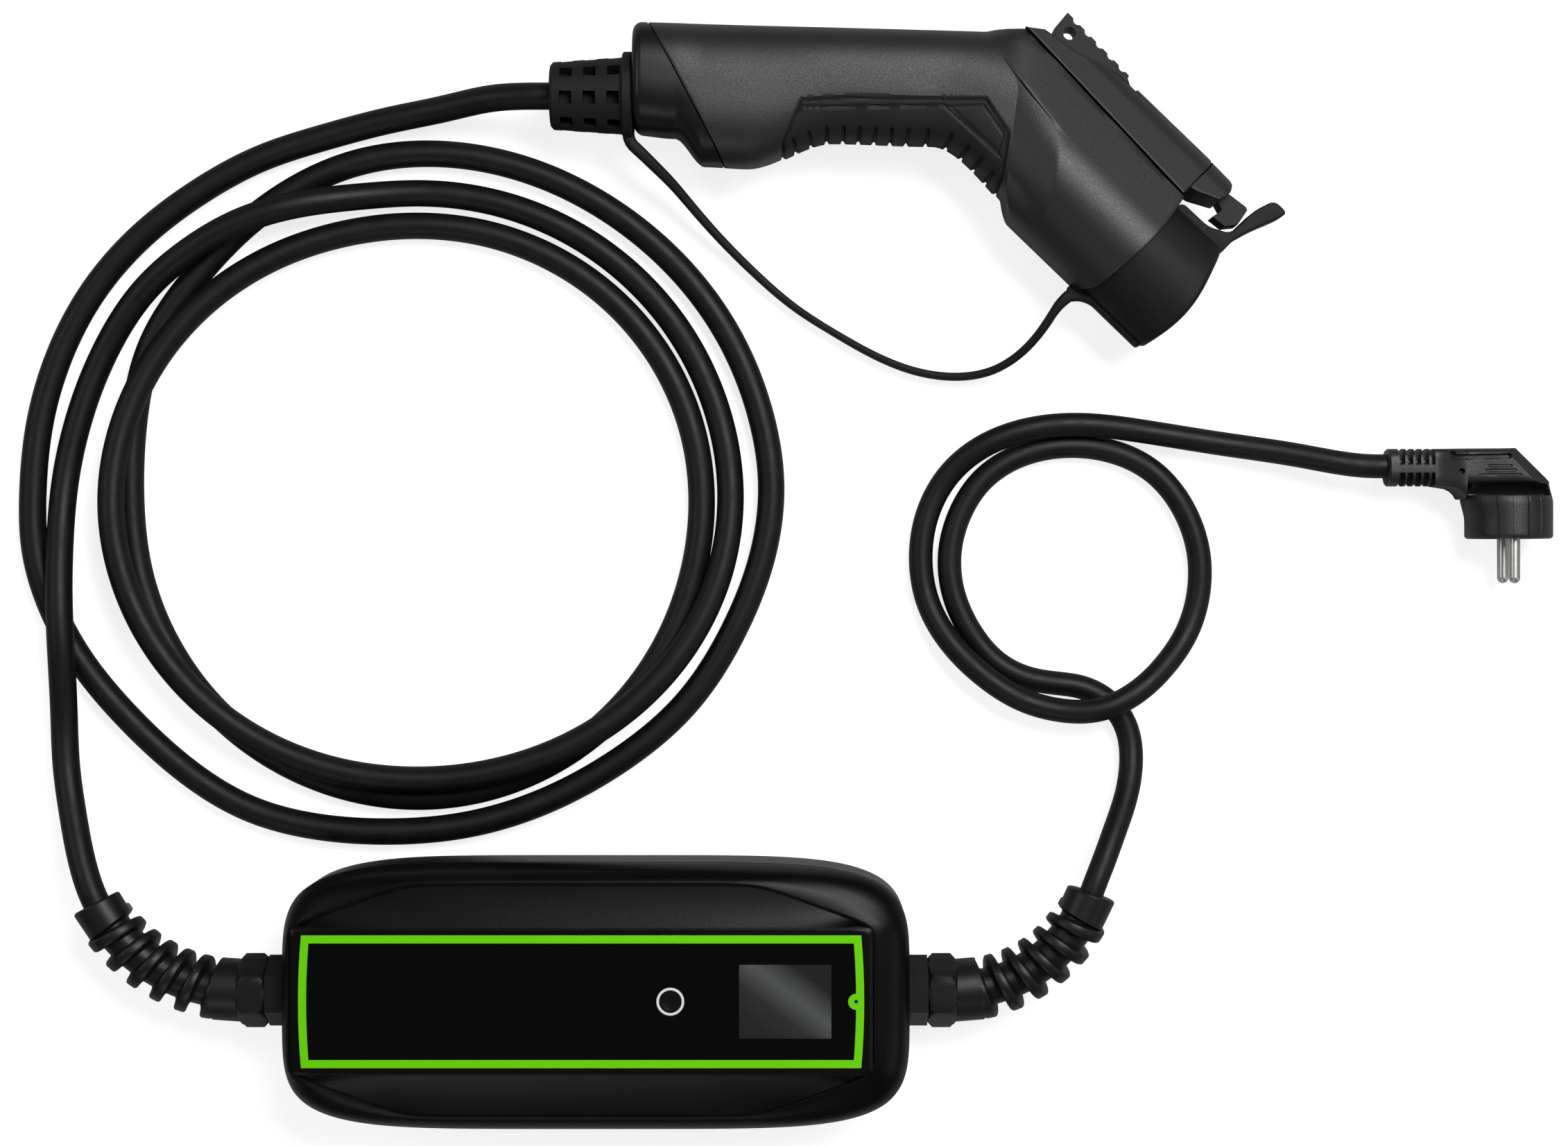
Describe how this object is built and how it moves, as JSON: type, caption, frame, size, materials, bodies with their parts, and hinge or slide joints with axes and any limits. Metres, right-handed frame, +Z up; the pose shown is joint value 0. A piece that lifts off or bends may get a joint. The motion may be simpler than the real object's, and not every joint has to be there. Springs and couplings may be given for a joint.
{
  "type": "portable electric vehicle charger",
  "caption": "Portable electric vehicle charger: control box with a small display, coiled cable to a latching vehicle connector with a dust cap, and a short lead to a mains plug.",
  "frame": {"origin": "middle of the control box's underside", "axes": "+X along the control box towards its mains cable, +Y from the box towards the vehicle connector, +Z up from the table"},
  "size_m": [0.6575, 0.4675, 0.0604],
  "materials": {
    "box_plastic": "satin moulded",
    "panel_gloss": "glossy",
    "accent_green": "satin",
    "display_glass": "smooth dark",
    "ring_metal": "polished",
    "button_black": "satin",
    "display_grey": "smooth",
    "board_green": "coated",
    "component_black": "moulded",
    "sensor_blue": "coated",
    "capacitor_sleeve": "smooth",
    "terminal_green": "moulded",
    "fastener_steel": "plated",
    "gland_black": "satin moulded",
    "seal_rubber": "matte",
    "cable_jacket": "soft sheen",
    "handle_charcoal": "fine texture",
    "end_cap_black": "satin",
    "grip_rubber": "soft matte",
    "latch_black": "satin",
    "spring_steel": "bright",
    "nose_black": "satin",
    "contact_brass": "bright",
    "cap_rubber": "matte",
    "plug_black": "satin",
    "pin_nickel": "bright plated"
  },
  "bodies": {
    "charger": {"box_base": "box_plastic", "box_cover": "box_plastic", "box_seal": "seal_rubber", "accent_frame": "accent_green", "face_panel": "panel_gloss", "display_window": "display_glass", "button_ring": "ring_metal", "display_module": "display_grey", "display_board": "board_green", "button_switch": "component_black", "main_board": "board_green", "board_screws": "fastener_steel", "relays": "component_black", "current_sensor": "sensor_blue", "power_module": "component_black", "capacitors": "capacitor_sleeve", "terminal_blocks": "terminal_green", "case_screws": "fastener_steel", "charge_gland_body": "gland_black", "charge_gland_nut": "gland_black", "charge_gland_locknut": "gland_black", "charge_gland_seal": "seal_rubber", "mains_gland_body": "gland_black", "mains_gland_nut": "gland_black", "mains_gland_locknut": "gland_black", "mains_gland_seal": "seal_rubber", "charge_cable_coil": "cable_jacket", "charge_cable_lead_in": "cable_jacket", "charge_cable_lead_out": "cable_jacket", "mains_cable": "cable_jacket", "handle_shell_upper": "handle_charcoal", "handle_shell_lower": "handle_charcoal", "handle_end_cap": "end_cap_black", "grip_insert": "grip_rubber", "handle_screws": "fastener_steel", "cable_boot": "cap_rubber", "cable_clamp": "component_black", "latch_cover": "handle_charcoal", "latch_pin": "fastener_steel", "latch_switch": "component_black", "nose_insert": "nose_black", "power_contacts": "contact_brass", "earth_contact": "contact_brass", "signal_contacts": "contact_brass", "tether_ring": "cap_rubber", "cap_tether": "cap_rubber", "plug_body": "plug_black", "plug_pins": "pin_nickel", "plug_earth_clips": "pin_nickel"},
    "latch": {"latch_lever": "latch_black", "latch_hood": "handle_charcoal", "latch_spring": "spring_steel"},
    "button": {"control_button": "button_black"},
    "cap": {"dust_cap": "cap_rubber"}
  },
  "joints": [
    {"name": "latch_press", "type": "hinge", "parent": "charger", "child": "latch", "pos_m": [0.23225, 0.36566, 0.0285], "axis": [0, 0, 1], "range_deg": [0, 4.5], "stiffness_Nm_per_rad": 2, "springref_deg": -4.58},
    {"name": "control_button_press", "type": "slide", "parent": "charger", "child": "button", "axis": [0, 0, -1], "range_m": [0, 0.0008], "stiffness_N_per_m": 1500, "springref_m": -0.0006},
    {"name": "dust_cap_pull", "type": "slide", "parent": "charger", "child": "cap", "axis": [0.7193, -0.6947, 0], "range_m": [0, 0.045]}
  ]
}
